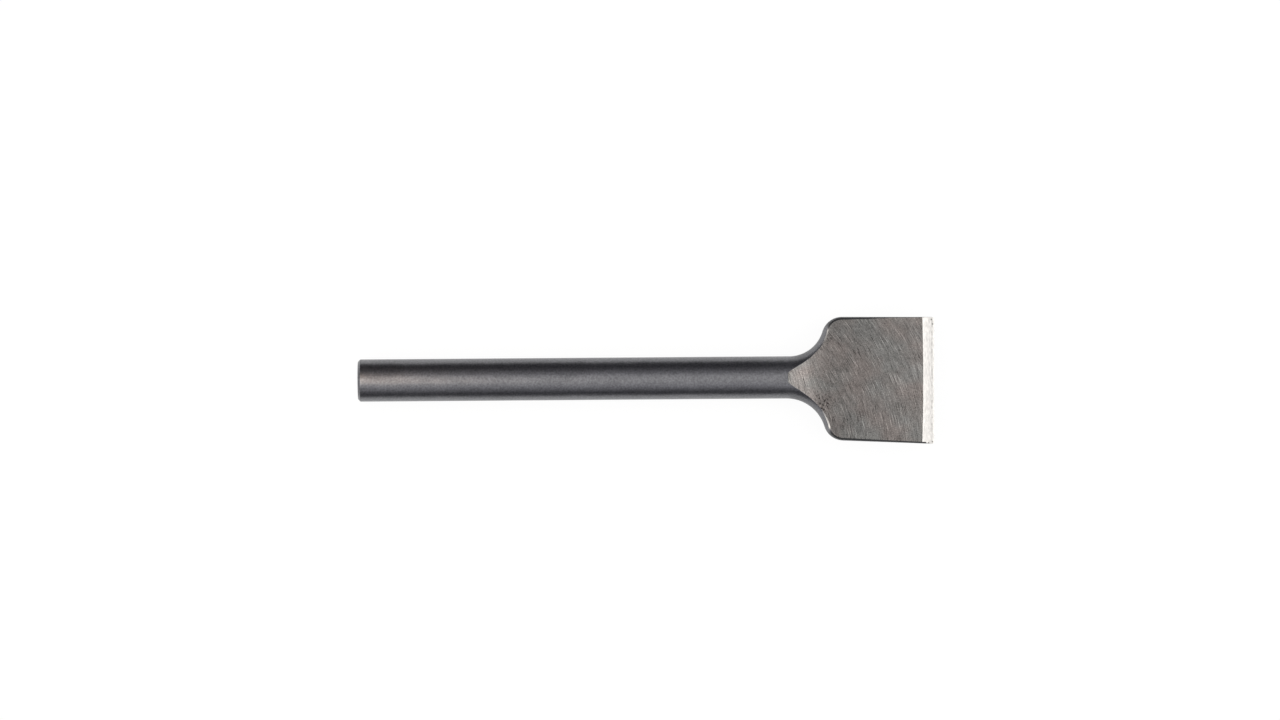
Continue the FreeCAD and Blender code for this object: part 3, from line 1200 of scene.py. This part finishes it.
@dataclass(frozen=True)
class GradedCard:
    """A card along one side of the bar: black at its foot and paler upwards, for the bands on round steel.

    Beside the blade it pales to the room's own shade, so that the flat faces mirror the room.
    """

    name: str
    distance: float                # mm from the bar's axis, with the sign of its side
    shades: Pairs                  # (degrees above the bar, brightness), from the foot up
    reach: Pair = (-700.0, 186.0)  # mm along X, from end to end
    fade_x: float = 152.0          # mm along X, where it starts to pale
    room_shade: float = 0.9
    blueness: float = 1.04         # blue of the card's grey against its red
    blue_glow: float = 0.01        # blue that its black keeps

    def build(self, floor_height: float) -> None:
        """Stands the card on the floor.

        Args:
            floor_height: The floor's Z in metres.
        """
        top = abs(self.distance) * math.tan(math.radians(self.shades[-1][0])) * MM
        height = top - floor_height
        length = (self.reach[1] - self.reach[0]) * MM
        upright = Matrix.Rotation(math.radians(90.0), 3, "X")
        middle_x = (self.reach[0] + self.reach[1]) / 2.0
        middle = (middle_x * MM, self.distance * MM, floor_height + height / 2.0)
        shape = bmesh.new()
        bmesh.ops.create_grid(shape, x_segments=1, y_segments=1, size=0.5)
        bmesh.ops.scale(shape, vec=(length, height, 1.0), verts=shape.verts)
        bmesh.ops.rotate(shape, cent=(0.0, 0.0, 0.0), matrix=upright, verts=shape.verts)
        bmesh.ops.translate(shape, vec=middle, verts=shape.verts)
        card = add_shape(self.name, shape, self.material())
        card.visible_camera = False
        card.visible_diffuse = False
        card.visible_shadow = False

    def material(self) -> bpy.types.Material:
        """Builds the graded grey, by the angle at which the bar sees each height of the card.

        Returns:
            The material.
        """
        material = empty_material(self.name)
        tree = material.node_tree
        metres = add_node(tree, "TexCoord", output="Object")
        split = add_node(tree, "SeparateXYZ", metres).node.outputs
        rise = add_node(tree, "Math", split["Z"], abs(self.distance) * MM, operation="DIVIDE")
        angle = add_node(tree, "Math", rise, operation="ARCTANGENT")
        low, high = self.shades[0][0], self.shades[-1][0]
        share = add_node(tree, "MapRange", angle, math.radians(low), math.radians(high))
        graded = add_node(tree, "ValToRGB", share)
        stops = graded.node.color_ramp.elements
        ready = len(stops)
        for number, (degrees, brightness) in enumerate(self.shades):
            position = (degrees - low) / (high - low)
            stop = stops[number] if number < ready else stops.new(position)
            stop.position = position
            stop.color = (brightness, brightness, brightness * self.blueness + self.blue_glow, 1.0)
        pale = add_node(tree, "MapRange", split["X"], self.fade_x * MM, self.reach[1] * MM)
        room = (self.room_shade, self.room_shade, self.room_shade, 1.0)
        shade = add_node(tree, "Mix", pale, inputs={COLOUR_A: graded, COLOUR_B: room}, **COLOUR_MIX)
        add_node(tree, "OutputMaterial", add_node(tree, "Emission", shade))
        return material


@dataclass(frozen=True)
class Studio:
    """White floor, pale room, softboxes, black cards and the camera straight above."""

    camera_height: float = 3000.0       # mm above the bar's axis
    view_width: float = 423.7           # mm across the picture at the bar's axis
    view_centre: Pair = (93.39, 6.112)  # mm, seen at the picture's middle
    roll: float = 0.43                  # degrees by which the bar rises to the right
    sensor_width: float = 36.0          # mm
    clip_end: float = 100.0             # metres
    floor_size: float = 8000.0          # mm
    floor: str = "#f7f7f7"
    own_light: float = 0.93             # share of the floor's white that isn't lit
    room: str = "#f4f4f4"
    lamps: tuple[SoftLamp, ...] = (
        SoftLamp("back_softbox", (-110.0, 0.0, 265.0), (150.0, 0.0, 0.0), (260.0, 260.0), 1.9, "#fff9f2"),
        SoftLamp("end_lamp", (-22.0, 40.0, 95.0), (-8.0, 0.0, 7.0), (36.0, 180.0), 0.8, "#ffce94"),
        SoftLamp("edge_softbox", (396.0, 0.0, 241.0), (165.0, 0.0, 0.0), (360.0, 290.0), 1.7, "#fffcfa"),
        SoftLamp("left_shoulder_lamp", (-423.0, 332.0, 618.0), (153.0, 13.0, 4.0), (380.0, 160.0), 1.3),
        SoftLamp("right_shoulder_lamp", (-423.0, -332.0, 618.0), (153.0, -13.0, 4.0), (380.0, 160.0), 1.05),
    )
    cards: tuple[GradedCard, ...] = (
        GradedCard(
            "left_card", 60.0, ((-8.0, 0.02), (12.0, 0.05), (30.0, 0.045), (50.0, 0.2), (75.0, 0.7)),
        ),
        GradedCard(
            "right_card", -50.0, ((-9.0, 0.11), (10.0, 0.04), (20.0, 0.07), (32.0, 0.35), (58.0, 0.85)),
        ),
    )

    def build(self, floor_height: float) -> None:
        """Sets the whole studio.

        Args:
            floor_height: The floor's Z in metres.
        """
        self.build_camera()
        self.build_floor(floor_height)
        self.build_room()
        for lamp in self.lamps:
            lamp.build()
        for card in self.cards:
            card.build(floor_height)
        bpy.context.scene.view_settings.view_transform = "Standard"

    def build_camera(self) -> None:
        """Hangs the camera over the chisel, looking straight down."""
        camera = bpy.data.cameras.new("camera")
        camera.sensor_width = self.sensor_width
        camera.lens = self.sensor_width * self.camera_height / self.view_width
        camera.clip_end = self.clip_end
        holder = add_object("camera", camera)
        holder.location = Vector((*self.view_centre, self.camera_height)) * MM
        holder.rotation_euler = (0.0, 0.0, -math.radians(self.roll))
        bpy.context.scene.camera = holder

    def build_floor(self, floor_height: float) -> None:
        """Lays the white floor, which keeps a soft shadow and shows white to the eye and in the steel.

        Args:
            floor_height: The floor's Z in metres.
        """
        shape = bmesh.new()
        bmesh.ops.create_grid(shape, x_segments=1, y_segments=1, size=self.floor_size * MM / 2.0)
        bmesh.ops.translate(shape, vec=(0.0, 0.0, floor_height), verts=shape.verts)
        material = empty_material("white_paper_floor")
        tree = material.node_tree
        rays = add_node(tree, "LightPath").node.outputs
        seen = rays["Is Camera Ray"]
        for ray in ("Is Glossy Ray", "Is Transmission Ray"):
            seen = add_node(tree, "Math", seen, rays[ray], operation="MAXIMUM")
        share = add_node(tree, "Math", seen, self.own_light, operation="MULTIPLY")
        paper = add_node(tree, "BsdfDiffuse", linear_colour(self.floor))
        white = add_node(tree, "Emission", inputs={"Strength": 1.0})
        add_node(tree, "OutputMaterial", add_node(tree, "MixShader", share, paper, white))
        add_shape("floor", shape, material)

    def build_room(self) -> None:
        """Fills the room with plain pale light."""
        world = bpy.data.worlds.new("pale_room")
        world.use_nodes = True
        tree = world.node_tree
        tree.nodes.clear()
        light = {"Color": linear_colour(self.room), "Strength": 1.0}
        add_node(tree, "OutputWorld", add_node(tree, "Background", inputs=light))
        bpy.context.scene.world = world


def main() -> None:
    """Builds the studio and the chisel."""
    logging.basicConfig(level=logging.INFO, format="%(name)s: %(message)s")
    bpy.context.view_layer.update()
    low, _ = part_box(NODE)
    Studio().build(low.z)
    finishes = {
        Zone.FORGED: ForgedSkin(),
        Zone.GROUND: GroundFace(),
        Zone.BEVEL: BevelSteel(),
    }
    chisel = SpadeChisel().build([finishes[zone].material() for zone in Zone])
    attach(chisel, "root")
    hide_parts(NODE)
    LOG.info("%s: %d faces", chisel.name, len(chisel.data.polygons))


if __name__ == "__main__":
    main()
